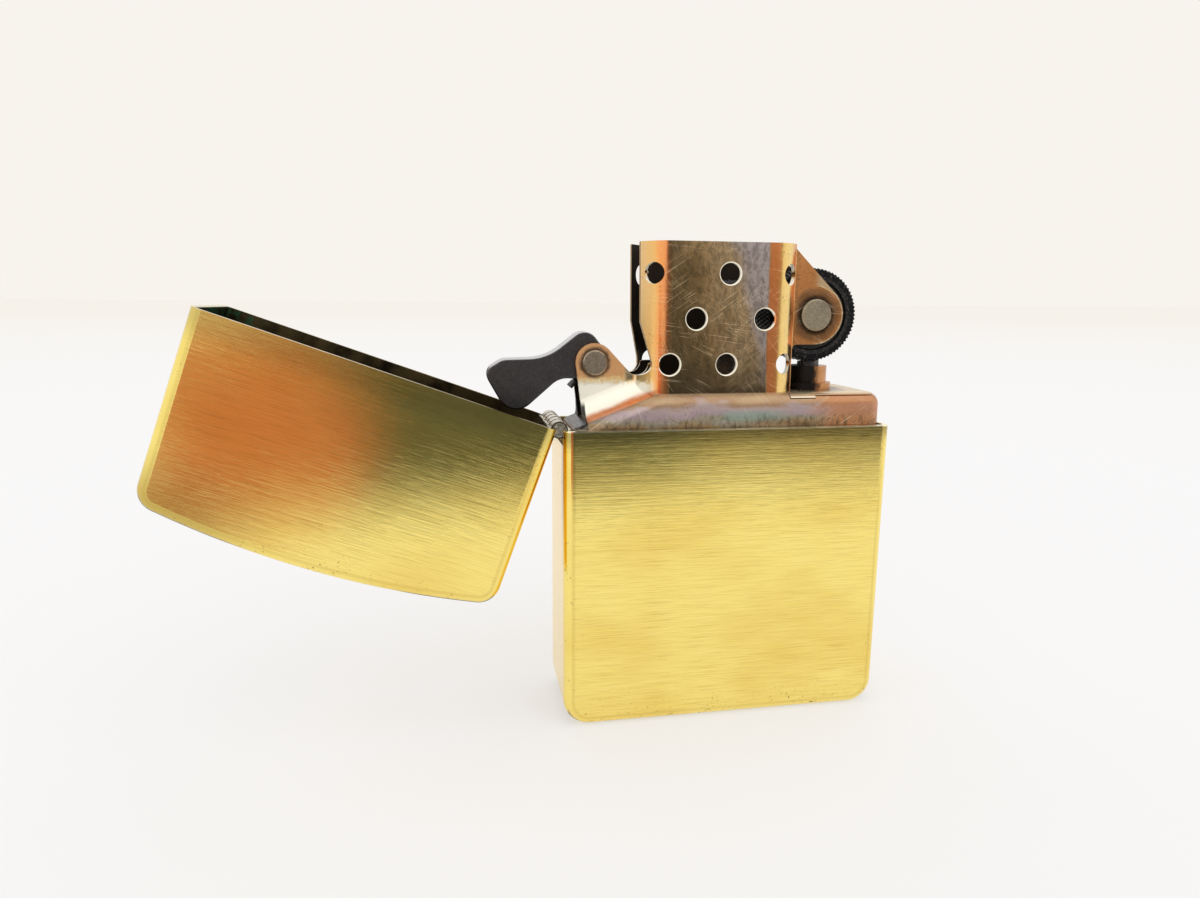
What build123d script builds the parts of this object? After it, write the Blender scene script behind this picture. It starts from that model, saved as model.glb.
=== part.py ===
from build123d import *
import math
import os

# A pocket lighter with a hinged lid, stored with the lid open and the insert seated.
# Millimetres. X is the width (the hinge is at -X), Y the depth (the front is at -Y), Z is up.
# The origin is the centre of the case's bottom face.

# Case and lid
case_width = 38.1
case_depth = 12.7
rim_height = 34.5
closed_height = 57.1
case_wall = 0.6
spare = 1.0  # how far a cutting solid reaches past the face that it cuts
edge_round = 1.25
base_corner = 3.0
lid_corner = 2.4
dome_radius = 95.0
lid_open_angle = 160.0

# Hinge
hinge_x = -19.4
pin_radius = 0.55
knuckle_radius = 0.95
knuckle_count = 5
knuckle_length = 1.88
knuckle_pitch = 2.0
knuckle_chamfer = 0.16
web_height = 0.85
leaf_thickness = 0.35
leaf_height = 8.0
leaf_half_width = 5.0
leaf_corner = 1.2
leaf_gap = 0.05
pin_overhang = 0.12
case_notch_depth = 1.7
lid_notch_depth = 1.3
notch_side_gap = 0.15
running_gap = 0.04

# Insert
insert_left = -17.95
insert_right = 18.15
insert_bottom = 2.1
insert_half_depth = 5.45
insert_wall = 0.5
deck_height = 38.25
deck_left_height = 34.45
slope_end_x = -8.2
shoulder_round = 1.3
end_round = 1.5
left_round = 0.9
slope_round = 5.0
deck_rise = (deck_height - deck_left_height) / (slope_end_x - insert_left)
cap_start_x = 7.0
cap_step_x = 10.0
cap_seam_height = 37.95
cap_lip_height = 37.7
seam_gap = 0.12
tongue_left_x = -6.5
tongue_half_depth = 4.0
plate_gap = 0.05
plate_thickness = 0.5
plate_web_bottom = 37.35
skirt_bottom = 36.2
skirt_thickness = 0.4
skirt_end_gap = 0.5

# Chimney and ears, one folded sheet on each side
sheet = 0.45
chimney_top = 54.8
chimney_face_y = 4.7
chimney_left = -10.15
chimney_right = 7.75
cam_ear_y = 2.15
wheel_ear_y = 3.05
sheet_foot_z = 33.0
ear_foot_x = -16.1
bend_x = (-10.49, -8.19, 6.13, 7.62)
bend_radii = (1.0, 2.5, 2.8, 0.5)
hole_radius = 1.175
hole_rows = (51.4, 46.5, 41.5)
hole_chamfer = 0.12
flare_height = 3.5
flare_reach_y = 4.5
flare_right = -7.6

# Cam and its rivet
cam_x = -15.06
cam_z = 41.6
cam_ear_radius = 2.15
cam_half_width = 1.5
cam_hub_radius = 2.05
cam_pin_radius = 0.8
cam_head_radius = 1.4
cam_edge_round = 0.18
leaf_spring_half_thickness = 0.15
leaf_spring_half_width = 1.3
spring_rivet_x = -10.5
slot_x = -10.25
slot_z = 41.5
slot_radius = 1.3

# Striker wheel and its rivet
wheel_x = 10.45
wheel_z = 46.95
wheel_radius = 5.4
wheel_half_width = 2.35
wheel_ear_radius = 3.35
wheel_pin_radius = 1.0
wheel_head_radius = 1.8
wheel_chamfer = 0.25
wheel_recess = 0.25
wheel_hub_radius = 2.2
wheel_ring_radius = 4.6
head_thickness = 0.4
head_chamfer = 0.15

# Flint column
flint_x = 11.2
tube_radius = 1.8
tube_bore = 1.33
tube_bottom = 4.4
tube_top = 41.0
collar_radius = 2.2
flange_radius = 2.75
flange_height = 0.8
flint_radius = 1.25
flint_bottom = 36.6
flint_gap = 0.08
plunger_length = 3.2
plunger_head_radius = 1.2
plunger_stem_radius = 0.7
coil_outer_radius = 1.15
coil_inner_radius = 0.8
screw_shank_radius = 1.5
screw_head_radius = 2.5
screw_head_height = 1.6
screw_top = 10.6
thread_pitch = 0.6
thread_width = 0.25
thread_depth = 0.2
thread_count = 8
screw_slot_width = 0.8
screw_slot_depth = 0.7

# Wick and packing
wick_x = 0.5
wick_radius = 1.6
wick_top = 50.5
wick_bend = 3.0
wick_first_run_z = 30.8
wick_left_x = -12.0
wick_right_x = 4.5
strand_radius = 0.15
strand_spacing = 0.8
wick_hole_gap = 0.15
pad_half_depth = 4.7
pad_reach_x = 17.2
pad_thickness = 2.5
pad_corner = 1.2
pad_tube_gap = 0.1
felt_bottom = 2.3
felt_thickness = 2.8
felt_half_depth = 4.85
felt_left = -17.3
felt_right = 17.5
felt_corner = 1.0
felt_screw_gap = 0.3


def outline(points, radii):
    """A flat face in the XZ plane with the given corners, each rounded by its own radius."""
    path = FilletPolyline(*points, radius=radii, close=True)
    return Plane.XZ * make_face(path.edges())


def slab(face, y_low, y_high):
    """The XZ face swept from one depth to another."""
    middle = (y_low + y_high) / 2
    return Pos(0, middle, 0) * extrude(face, amount=(y_high - y_low) / 2, both=True)


def y_rod(x, z, radius, y_low, y_high):
    """A cylinder whose axis runs front to back."""
    middle = (y_low + y_high) / 2
    return Pos(x, middle, z) * Rot(90, 0, 0) * Cylinder(radius, y_high - y_low)


def z_rod(x, radius, z_low, z_high):
    """An upright cylinder on the centre plane."""
    return Pos(x, 0, (z_low + z_high) / 2) * Cylinder(radius, z_high - z_low)


def block(x_low, x_high, y_low, y_high, z_low, z_high):
    """A plain box between two corners."""
    size = (x_high - x_low, y_high - y_low, z_high - z_low)
    centre = ((x_low + x_high) / 2, (y_low + y_high) / 2, (z_low + z_high) / 2)
    return Pos(*centre) * Box(*size)


def soften_faces(solid, radius, open_z):
    """Round the outline of the front and back faces, except along the open rim."""
    by_depth = solid.faces().sort_by(Axis.Y)
    edges = by_depth[0].edges() + by_depth[-1].edges()
    kept = [edge for edge in edges if abs(edge.center().Z - open_z) > 0.01]
    return fillet(kept, radius)


def save(shape, name):
    """Write one node."""
    export_step(shape, "parts/" + name + ".step")


def case_form(inset, top):
    """The bottom half's form, shrunk by an inset and open at a chosen height."""
    half = case_width / 2 - inset
    corner = base_corner - inset
    points = [(-half, top), (-half, inset), (half, inset), (half, top)]
    face = outline(points, [0, corner, corner, 0])
    depth = case_depth / 2 - inset
    return soften_faces(slab(face, -depth, depth), edge_round - inset, top)


def lid_form(inset, bottom):
    """The lid's form in its closed place: straight sides under a shallow arched top."""
    half = case_width / 2 - inset
    height = closed_height - inset - bottom
    radius = dome_radius - inset
    sides = Pos(0, bottom + height / 2) * Rectangle(2 * half, height)
    arch = Pos(0, closed_height - dome_radius) * Circle(radius)
    face = sides & arch
    top_corners = face.vertices().sort_by(Axis.Y)[-2:]
    face = Plane.XZ * fillet(top_corners, lid_corner - inset)
    depth = case_depth / 2 - inset
    return soften_faces(slab(face, -depth, depth), edge_round - inset, bottom)


def hinge_notch(z_low, z_high):
    """The cut in the left wall that the hinge barrel sits in."""
    reach = leaf_half_width + notch_side_gap
    outside = -case_width / 2
    past_wall = outside + case_wall + 0.02
    return block(outside - spare, past_wall, -reach, reach, z_low, z_high)


def open_lid(shape):
    """Turn a piece from the closed place to the open place about the hinge pin."""
    axis = Axis((hinge_x, 0, rim_height), (0, -1, 0))
    return shape.rotate(axis, lid_open_angle)


def case_bottom():
    shell = case_form(0, rim_height) - case_form(case_wall, rim_height + spare)
    return shell - hinge_notch(rim_height - case_notch_depth, rim_height + spare)


def case_lid():
    shell = lid_form(0, rim_height) - lid_form(case_wall, rim_height - spare)
    return open_lid(shell - hinge_notch(rim_height - spare, rim_height + lid_notch_depth))


def knuckle(y_low, y_high):
    """One turn of the hinge barrel, with broken edges."""
    barrel = y_rod(hinge_x, rim_height, knuckle_radius, y_low, y_high)
    return chamfer(barrel.edges().filter_by(GeomType.CIRCLE), knuckle_chamfer)


def hinge_leaf(side, first, bore_radius):
    """A leaf inside the left wall with every second knuckle rolled round the pin."""
    face_x = -case_width / 2 + case_wall
    far_z = rim_height + side * leaf_height
    near_z = rim_height + side * leaf_gap
    low, high = sorted((far_z, near_z))
    plate = block(face_x, face_x + leaf_thickness, -leaf_half_width, leaf_half_width, low, high)
    far_corners = plate.edges().filter_by(Axis.X).group_by(Axis.Z)[0 if side < 0 else -1]
    leaf = fillet(far_corners, leaf_corner)
    for index in range(first, knuckle_count, 2):
        middle = (index - (knuckle_count - 1) / 2) * knuckle_pitch
        y_low = middle - knuckle_length / 2
        y_high = middle + knuckle_length / 2
        low, high = sorted((rim_height, rim_height + side * web_height))
        trim = knuckle_chamfer
        web = block(hinge_x, face_x + leaf_thickness, y_low + trim, y_high - trim, low, high)
        leaf += knuckle(y_low, y_high) + web
    return leaf - y_rod(hinge_x, rim_height, bore_radius, -case_depth, case_depth)


def hinge_pin():
    reach = leaf_half_width + pin_overhang
    return y_rod(hinge_x, rim_height, pin_radius, -reach, reach)


def insert_form(inset, bottom):
    """The insert body: a level deck that slopes down to the hinge end."""
    left = insert_left + inset
    right = insert_right - inset
    deck = deck_height - inset
    drop = inset * (math.hypot(1, deck_rise) - deck_rise)
    shift = inset * math.tan(math.atan(deck_rise) / 2)
    points = [
        (left, bottom),
        (left, deck_left_height - drop),
        (slope_end_x + shift, deck),
        (right, deck),
        (right, bottom),
    ]
    radii = [0, left_round - inset, slope_round, end_round - inset, 0]
    face = outline(points, radii)
    depth = insert_half_depth - inset
    return soften_faces(slab(face, -depth, depth), shoulder_round - inset, bottom)


def tangent_point(centre, radius, degrees):
    """The point of a circle at an angle."""
    angle = math.radians(degrees)
    return (centre[0] + radius * math.cos(angle), centre[1] + radius * math.sin(angle))


def side_sheet_outline():
    """Front view of one folded side: cam ear, slot, chimney wall and wheel ear."""
    ear = (cam_x, cam_z)
    slot = (slot_x, slot_z)
    wheel = (wheel_x, wheel_z)
    right_edge = chimney_right
    ear_foot = (ear_foot_x, sheet_foot_z)
    top_left = (chimney_left, chimney_top)
    top_right = (right_edge, chimney_top)
    brow = (right_edge, chimney_top - 0.5)
    slot_head = (chimney_left + 0.1, slot_z + 4.6)
    gap = math.dist(ear, slot)
    lean = math.degrees(math.acos((cam_ear_radius + slot_radius) / gap))
    crest = tangent_point(ear, cam_ear_radius, 90)
    ear_left = tangent_point(ear, cam_ear_radius, 187)
    ear_right = tangent_point(ear, cam_ear_radius, lean)
    slot_left = tangent_point(slot, slot_radius, 180 + lean)
    slot_low = tangent_point(slot, slot_radius, 285)
    slot_right = tangent_point(slot, slot_radius, 14)
    wheel_high = tangent_point(wheel, wheel_ear_radius, 47)
    wheel_side = tangent_point(wheel, wheel_ear_radius, -20)
    wheel_low = tangent_point(wheel, wheel_ear_radius, -90)
    throat = 0.6
    throat_centre = (right_edge + throat, wheel_low[1] - throat)
    throat_start = tangent_point(throat_centre, throat, 90)
    throat_middle = tangent_point(throat_centre, throat, 135)
    throat_end = tangent_point(throat_centre, throat, 180)
    edges = [
        Line(ear_foot, ear_left),
        ThreePointArc(ear_left, crest, ear_right),
        Line(ear_right, slot_left),
        ThreePointArc(slot_left, slot_low, slot_right),
        Line(slot_right, slot_head),
        Line(slot_head, top_left),
        Line(top_left, top_right),
        Line(top_right, brow),
        Line(brow, wheel_high),
        ThreePointArc(wheel_high, wheel_side, wheel_low),
        Line(wheel_low, throat_start),
        ThreePointArc(throat_start, throat_middle, throat_end),
        Line(throat_end, (right_edge, sheet_foot_z)),
        Line((right_edge, sheet_foot_z), ear_foot),
    ]
    return Plane.XZ * make_face(edges)


def side_sheet_plan():
    """Top view of the front sheet: inset cam ear, chimney face, inset wheel ear."""
    half = sheet / 2
    points = [
        (insert_left - spare, -cam_ear_y + half),
        (bend_x[0], -cam_ear_y + half),
        (bend_x[1], -chimney_face_y + half),
        (bend_x[2], -chimney_face_y + half),
        (bend_x[3], -wheel_ear_y + half),
        (wheel_x + wheel_ear_radius + spare, -wheel_ear_y + half),
    ]
    return trace(FilletPolyline(*points, radius=list(bend_radii)), sheet)


def chimney_holes():
    """Air holes of the front side: three, two and three, the outer ones square to the bent ends."""
    top, middle, low = hole_rows
    flat = [(-0.45, top), (-4.2, middle), (3.7, middle), (-7.1, low), (-0.6, low)]
    bent = [(-9.0, top, -4.0, -46), (6.95, top, -4.0, 38), (6.4, low, -4.35, 29)]
    drill = Rot(90, 0, 0) * Cylinder(hole_radius, 2.6)
    holes = [Pos(x, -chimney_face_y, z) * drill for x, z in flat]
    return holes + [Pos(x, y, z) * Rot(0, 0, turn) * drill for x, z, y, turn in bent]


def break_hole_edges(wall):
    """A small chamfer round the outer end of each air hole in the flat face."""
    round_edges = wall.edges().filter_by(GeomType.CIRCLE)
    outer = [
        edge
        for edge in round_edges
        if abs(edge.radius - hole_radius) < 0.01 and abs(edge.center().Y + chimney_face_y) < 0.01
    ]
    return chamfer(outer, hole_chamfer)


def front_sheet():
    """The folded sheet in front, standing on the deck."""
    tall = extrude(Pos(0, 0, sheet_foot_z) * side_sheet_plan(), amount=chimney_top)
    wall = tall & slab(side_sheet_outline(), -case_depth, 0)
    for hole in chimney_holes():
        wall -= hole
    wall = break_hole_edges(wall)
    wall -= y_rod(cam_x, cam_z, cam_pin_radius, -case_depth, 0)
    wall -= y_rod(wheel_x, wheel_z, wheel_pin_radius, -case_depth, 0)
    return wall - plate_clearance()


def plate_clearance():
    """The room that the top plate takes under the chimney sheets."""
    top = deck_height + plate_gap
    edge = tongue_half_depth + 2 * plate_gap
    tongue = block(tongue_left_x, cap_start_x, -edge, edge, sheet_foot_z, top)
    cap_left = cap_start_x - 3 * plate_gap
    cap = block(cap_left, insert_right, -case_depth, case_depth, sheet_foot_z, top)
    return tongue + cap


def ear_flare():
    """Concave foot that spreads the front cam ear onto the sloping deck."""
    start = insert_left
    deck = deck_height + deck_rise * (start - slope_end_x)
    wall = -cam_ear_y + sheet / 2
    face = -cam_ear_y
    sink = 0.25
    depth = flare_reach_y - cam_ear_y
    turn = math.sqrt(0.5)
    middle = (face - depth * (1 - turn), deck + flare_height * (1 - turn))
    edges = [
        Line((wall, deck - sink), (wall, deck + flare_height)),
        Line((wall, deck + flare_height), (face, deck + flare_height)),
        ThreePointArc((face, deck + flare_height), middle, (-flare_reach_y, deck)),
        Line((-flare_reach_y, deck), (-flare_reach_y, deck - sink)),
        Line((-flare_reach_y, deck - sink), (wall, deck - sink)),
    ]
    profile = Plane((start, 0, 0), x_dir=(0, 1, 0), z_dir=(1, 0, 0)) * make_face(edges)
    length = (flare_right - start) * math.hypot(1, deck_rise)
    foot = extrude(profile, amount=length, dir=(1, 0, deck_rise))
    limits = [
        (ear_foot_x, sheet_foot_z),
        tangent_point((cam_x, cam_z), cam_ear_radius, 187),
        (flare_right, cam_z),
        (flare_right, sheet_foot_z),
    ]
    foot = foot & slab(outline(limits, [0, 0, 0, 0]), -case_depth, 0)
    return foot - y_rod(slot_x, slot_z, slot_radius, -case_depth, 0)


def insert_shell():
    """Drawn body with its sloping deck, chimney, cam ears and wheel ears."""
    hollow = insert_form(insert_wall, insert_bottom - 1)
    body = insert_form(0, insert_bottom) - hollow
    front = front_sheet() + ear_flare() - hollow
    back = mirror(front, about=Plane.XZ)
    return body - top_plate_room() - spring_rivet_pin() + front + back


def top_plate_room():
    """The opening in the deck that the top plate fills."""
    edge = tongue_half_depth + plate_gap
    top = deck_height + spare
    left = cap_start_x - seam_gap
    bottom = deck_height - 2 * insert_wall
    tongue = block(tongue_left_x - plate_gap, cap_start_x, -edge, edge, bottom, top)
    full = case_depth / 2
    low = block(left, cap_step_x, -full, full, cap_lip_height - seam_gap, top)
    high = block(cap_step_x, insert_right, -full, full, cap_seam_height - seam_gap, top)
    web_y = plate_web_half_depth() + plate_gap
    web_bottom = plate_web_bottom - plate_gap
    web = block(left, insert_right - end_round, -web_y, web_y, web_bottom, top)
    return tongue + low + high + web


def plate_web_half_depth():
    """Half the depth of the plate's thick middle, clear of the body's rounded edge."""
    return insert_half_depth - insert_wall - 0.38


def insert_top_plate():
    """Plate that carries the flint tube and closes the deck from the chimney to the wheel end."""
    form = insert_form(0, insert_bottom)
    full = case_depth / 2
    under = deck_height - plate_thickness
    top = deck_height + spare
    low = block(cap_start_x, cap_step_x, -full, full, cap_lip_height, top)
    high = block(cap_step_x, insert_right, -full, full, cap_seam_height, top)
    tongue_y = tongue_half_depth
    tongue = block(tongue_left_x, cap_start_x, -tongue_y, tongue_y, under, top)
    web_y = plate_web_half_depth()
    skirt_right = insert_right - end_round - plate_gap * 2
    web = block(cap_start_x, skirt_right, -web_y, web_y, plate_web_bottom, top)
    plate = (form & (low + high + tongue + web)) + plate_skirt(skirt_right)
    plate -= z_rod(flint_x, tube_radius, skirt_bottom - spare, top)
    return plate - z_rod(wick_x, wick_radius + wick_hole_gap, skirt_bottom - spare, top)


def plate_skirt(right):
    """The rim under the plate that slips inside the body's walls."""
    left = cap_start_x + skirt_end_gap
    wall_y = insert_half_depth - insert_wall
    core_y = wall_y - skirt_thickness
    under = deck_height - plate_thickness
    rim = block(left, right, -wall_y, wall_y, skirt_bottom, under)
    core = block(left - spare, right + spare, -core_y, core_y, skirt_bottom - spare, under)
    return (rim - core) & insert_form(insert_wall, insert_bottom)


def flint_tube():
    """Upright tube with a flange on the top plate and a collar under the wheel."""
    tube = z_rod(flint_x, tube_radius, tube_bottom, tube_top)
    tube += z_rod(flint_x, collar_radius, deck_height, tube_top)
    tube += z_rod(flint_x, flange_radius, deck_height, deck_height + flange_height)
    tube -= z_rod(flint_x, tube_bore, tube_bottom - spare, tube_top + spare)
    return tube - z_rod(flint_x, screw_shank_radius, tube_bottom - spare, screw_top)


def flint():
    """Round flint whose top is worn hollow by the wheel."""
    rod = z_rod(flint_x, flint_radius, flint_bottom, wheel_z - wheel_radius + 2 * flint_radius)
    return rod - y_rod(wheel_x, wheel_z, wheel_radius + flint_gap, -case_depth, case_depth)


def flint_plunger():
    """Brass tip on the end of the flint spring."""
    head_bottom = flint_bottom - plunger_length / 2
    head = z_rod(flint_x, plunger_head_radius, head_bottom, flint_bottom)
    return head + z_rod(flint_x, plunger_stem_radius, flint_bottom - plunger_length, flint_bottom)


def flint_spring():
    """Envelope of the closely wound coil spring between the screw and the plunger."""
    top = flint_bottom - plunger_length / 2
    coil = z_rod(flint_x, coil_outer_radius, screw_top, top)
    return coil - z_rod(flint_x, coil_inner_radius, screw_top - spare, top + spare)


def flint_screw():
    """Slotted screw that closes the tube from below."""
    head_bottom = tube_bottom - screw_head_height
    screw = z_rod(flint_x, screw_head_radius, head_bottom, tube_bottom)
    screw += z_rod(flint_x, screw_shank_radius - running_gap, tube_bottom, screw_top)
    core_radius = screw_shank_radius - thread_depth
    for turn in range(1, thread_count + 1):
        low = tube_bottom + turn * thread_pitch
        groove = z_rod(flint_x, screw_shank_radius + spare, low, low + thread_width)
        screw -= groove - z_rod(flint_x, core_radius, low - spare, low + spare)
    half = screw_slot_width / 2
    left = flint_x - screw_head_radius - spare
    right = flint_x + screw_head_radius + spare
    return screw - block(left, right, -half, half, head_bottom - spare, head_bottom + screw_slot_depth)


def striker_wheel():
    """Drum wheel with a lowered rim face and a hub on each side."""
    wheel = y_rod(wheel_x, wheel_z, wheel_radius, -wheel_half_width, wheel_half_width)
    rims = wheel.edges().filter_by(GeomType.CIRCLE)
    wheel = chamfer(rims, wheel_chamfer)
    for side in (-1, 1):
        floor_y = side * (wheel_half_width - wheel_recess)
        low, high = sorted((floor_y, side * (wheel_half_width + spare)))
        hub = y_rod(wheel_x, wheel_z, wheel_hub_radius, low, high)
        wheel -= y_rod(wheel_x, wheel_z, wheel_ring_radius, low, high) - hub
    return wheel - y_rod(wheel_x, wheel_z, wheel_pin_radius + running_gap, -case_depth, case_depth)


def rivet(x, z, pin, head, ear_y):
    """A pin across both ears with a flat head on each side."""
    reach = ear_y + head_thickness
    body = y_rod(x, z, pin, -reach, reach)
    for side in (-1, 1):
        low, high = sorted((side * ear_y, side * reach))
        disc = y_rod(x, z, head, low, high)
        outer = disc.faces().sort_by(Axis.Y)[0 if side < 0 else -1]
        body += chamfer(outer.edges(), head_chamfer)
    return body


def cam():
    """Flat lever with a round hub, an upper lobe and a broad tail."""
    corners = [
        (-0.80, 3.98, 1.5),
        (-5.30, 0.50, 6.0),
        (-10.20, 0.38, 1.8),
        (-12.35, -0.95, 1.3),
        (-9.30, -6.45, 2.2),
        (-3.90, -1.75, 2.5),
        (-0.20, -1.95, 0),
        (1.00, 1.70, 0),
    ]
    points = [(cam_x + x, cam_z + z) for x, z, radius in corners]
    face = outline(points, [radius for x, z, radius in corners])
    hub = Plane.XZ * (Pos(cam_x, cam_z) * Circle(cam_hub_radius))
    lever = slab(face + hub, -cam_half_width, cam_half_width)
    sides = lever.faces().sort_by(Axis.Y)
    lever = fillet(sides[0].edges() + sides[-1].edges(), cam_edge_round)
    return lever - y_rod(cam_x, cam_z, cam_pin_radius + running_gap, -case_depth, case_depth)


def cam_spring():
    """Leaf spring: its foot lies on the sloping deck and its blade runs under the cam's hub."""
    half = leaf_spring_half_thickness
    lift = half * math.hypot(1, deck_rise) + 0.01
    foot_right = spring_rivet_x + 1.2
    foot_left = spring_rivet_x - 1.7
    points = [
        (foot_right, deck_height + deck_rise * (foot_right - slope_end_x) + lift),
        (foot_left, deck_height + deck_rise * (foot_left - slope_end_x) + lift),
        (cam_x + 0.06, cam_z - 2.38),
        (cam_x - 2.04, cam_z - 2.28),
        (cam_x - 2.59, cam_z - 2.85),
    ]
    path = FilletPolyline(*points, radius=[0.5, 1.2, 0.4])
    width = leaf_spring_half_width
    return slab(Plane.XZ * trace(path, 2 * half), -width, width) - spring_rivet_pin()


def spring_rivet_place():
    """Where the leaf spring's rivet stands on the slope, square to it."""
    z = deck_height + deck_rise * (spring_rivet_x - slope_end_x)
    tilt = -math.degrees(math.atan(deck_rise))
    return Pos(spring_rivet_x, 0, z) * Rot(0, tilt, 0)


def spring_rivet_pin():
    return spring_rivet_place() * Cylinder(0.5, 1.4)


def spring_rivet():
    """Small round head that holds the leaf spring's foot to the deck."""
    place = spring_rivet_place()
    head = place * Pos(0, 0, 0.52) * Cylinder(0.85, 0.3)
    tail = place * Pos(0, 0, -0.71) * Cylinder(0.8, 0.3)
    return spring_rivet_pin() + head + tail


def wick_route():
    """Straight down from the flame, then folded back and forth through the packing."""
    run = wick_first_run_z
    step = 2 * wick_bend
    corner = (wick_x - wick_bend, run)
    edges = [
        Line((wick_x, wick_top), (wick_x, run + wick_bend)),
        RadiusArc((wick_x, run + wick_bend), corner, wick_bend),
    ]
    start = corner[0]
    for fold in range(3):
        end = wick_left_x if fold % 2 == 0 else wick_right_x
        side = -1 if fold % 2 == 0 else 1
        edges.append(Line((start, run), (end, run)))
        middle = (end + side * wick_bend, run - wick_bend)
        edges.append(ThreePointArc((end, run), middle, (end, run - step)))
        run -= step
        start = end
    edges.append(Line((start, run), (wick_right_x, run)))
    return Plane.XZ * Wire([edge for line in edges for edge in line.edges()])


def wick_and_strands():
    """Woven wick with three copper strands running its whole length."""
    route = wick_route()
    top = Plane((wick_x, 0, wick_top), x_dir=(1, 0, 0), z_dir=(0, 0, -1))
    places = [-strand_spacing, 0, strand_spacing]
    strands = [sweep(top * (Pos(0, y) * Circle(strand_radius)), path=route) for y in places]
    wick = sweep(top * Circle(wick_radius), path=route)
    for strand in strands:
        wick -= strand
    return wick, Compound(children=[strand.solid() for strand in strands])


def cotton_pad(x_low, x_high, z_low, z_high):
    """One soft block of packing, with room for the flint tube."""
    pad = block(x_low, x_high, -pad_half_depth, pad_half_depth, z_low, z_high)
    pad = fillet(pad.edges().filter_by(Axis.Z), pad_corner)
    return pad - z_rod(flint_x, tube_radius + pad_tube_gap, z_low - spare, z_high + spare)


def cotton_pads():
    """Five layers: one round the wick under the deck, three in its folds and one below."""
    reach = wick_radius + 0.2
    first_low = wick_first_run_z + reach
    first_high = first_low + pad_thickness + 0.1
    top = cotton_pad(wick_left_x, pad_reach_x, first_low, first_high)
    wick_room = block(wick_x - reach - 0.8, wick_x + reach, -reach, reach, first_low, first_high)
    pads = [top - wick_room]
    for layer in range(3):
        middle = wick_first_run_z - wick_bend - 2 * wick_bend * layer
        low = middle - pad_thickness / 2
        high = middle + pad_thickness / 2
        if layer % 2 == 0:
            pads.append(cotton_pad(wick_left_x, pad_reach_x, low, high))
        else:
            pads.append(cotton_pad(-pad_reach_x, wick_right_x, low, high))
    lowest_run = wick_first_run_z - 6 * wick_bend
    felt_top = felt_bottom + felt_thickness
    pads.append(cotton_pad(-pad_reach_x, pad_reach_x, felt_top + 0.2, lowest_run - reach))
    return pads


def felt_pad():
    """Felt that closes the bottom of the insert, cut out round the flint screw."""
    top = felt_bottom + felt_thickness
    felt = block(felt_left, felt_right, -felt_half_depth, felt_half_depth, felt_bottom, top)
    felt = fillet(felt.edges().filter_by(Axis.Z), felt_corner)
    room = z_rod(flint_x, screw_head_radius + felt_screw_gap, felt_bottom - spare, top + spare)
    return felt - room


def main():
    os.makedirs("parts", exist_ok=True)
    save(case_bottom(), "case_bottom")
    save(case_lid(), "case_lid")
    save(hinge_leaf(-1, 0, pin_radius), "hinge_leaf_lower")
    save(open_lid(hinge_leaf(1, 1, pin_radius + running_gap)), "hinge_leaf_upper")
    save(hinge_pin(), "hinge_pin")
    save(insert_shell(), "insert_shell")
    save(insert_top_plate(), "insert_top_plate")
    save(flint_tube(), "flint_tube")
    save(flint(), "flint")
    save(flint_plunger(), "flint_plunger")
    save(flint_spring(), "flint_spring")
    save(flint_screw(), "flint_screw")
    save(striker_wheel(), "striker_wheel")
    save(rivet(wheel_x, wheel_z, wheel_pin_radius, wheel_head_radius, wheel_ear_y), "wheel_rivet")
    save(cam(), "cam")
    save(rivet(cam_x, cam_z, cam_pin_radius, cam_head_radius, cam_ear_y), "cam_rivet")
    save(cam_spring(), "cam_spring")
    save(spring_rivet(), "spring_rivet")
    wick, strands = wick_and_strands()
    save(wick, "wick")
    save(strands, "wick_strands")
    for number, pad in enumerate(cotton_pads(), start=1):
        save(pad, "cotton_pad_" + str(number))
    save(felt_pad(), "felt_pad")


main()
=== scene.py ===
import math
import random

import bpy
from mathutils import Matrix, Vector, noise


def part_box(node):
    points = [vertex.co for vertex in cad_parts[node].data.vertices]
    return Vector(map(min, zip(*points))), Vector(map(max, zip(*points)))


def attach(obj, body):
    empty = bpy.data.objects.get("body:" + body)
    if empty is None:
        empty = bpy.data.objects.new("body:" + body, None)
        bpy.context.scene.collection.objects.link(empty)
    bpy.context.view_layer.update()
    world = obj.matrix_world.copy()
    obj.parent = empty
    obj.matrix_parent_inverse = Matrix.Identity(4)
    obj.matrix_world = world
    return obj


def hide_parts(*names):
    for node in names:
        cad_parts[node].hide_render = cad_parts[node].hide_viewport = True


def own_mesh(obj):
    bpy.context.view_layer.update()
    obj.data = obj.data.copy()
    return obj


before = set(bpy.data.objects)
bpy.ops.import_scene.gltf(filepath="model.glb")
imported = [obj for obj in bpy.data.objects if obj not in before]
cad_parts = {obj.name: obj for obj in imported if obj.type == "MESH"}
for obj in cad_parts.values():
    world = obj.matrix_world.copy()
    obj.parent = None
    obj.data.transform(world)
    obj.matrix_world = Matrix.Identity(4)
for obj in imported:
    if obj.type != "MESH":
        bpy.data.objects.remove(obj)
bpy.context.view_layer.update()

MM = 0.001
HINGE = Vector((-19.4, 0, 34.5))
OPEN_ANGLE = math.radians(160)
CAM_AXIS = (-15.06, 41.6)
WHEEL_AXIS = (10.45, 46.95)
FLINT_X = 11.2
WICK_X = 0.5
DECK_Z = 38.25
DECK_SLOPE = 0.39
DECK_SLOPE_START = -8.2
RIM_Z = 34.5
INNER_X = 18.6
INNER_Y = 5.9
INNER_ROOF = 56.45
CAM_HEAD_RADIUS = 1.4
WHEEL_HEAD_RADIUS = 1.8
WHEEL_EAR_RADIUS = 3.22
WHEEL_RADIUS = 5.4
CHIMNEY_LEFT, CHIMNEY_RIGHT, CHIMNEY_TOP = -10.5, 7.6, 54.0
EAR_FOOT_LEFT = -16.15


# Camera


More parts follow.
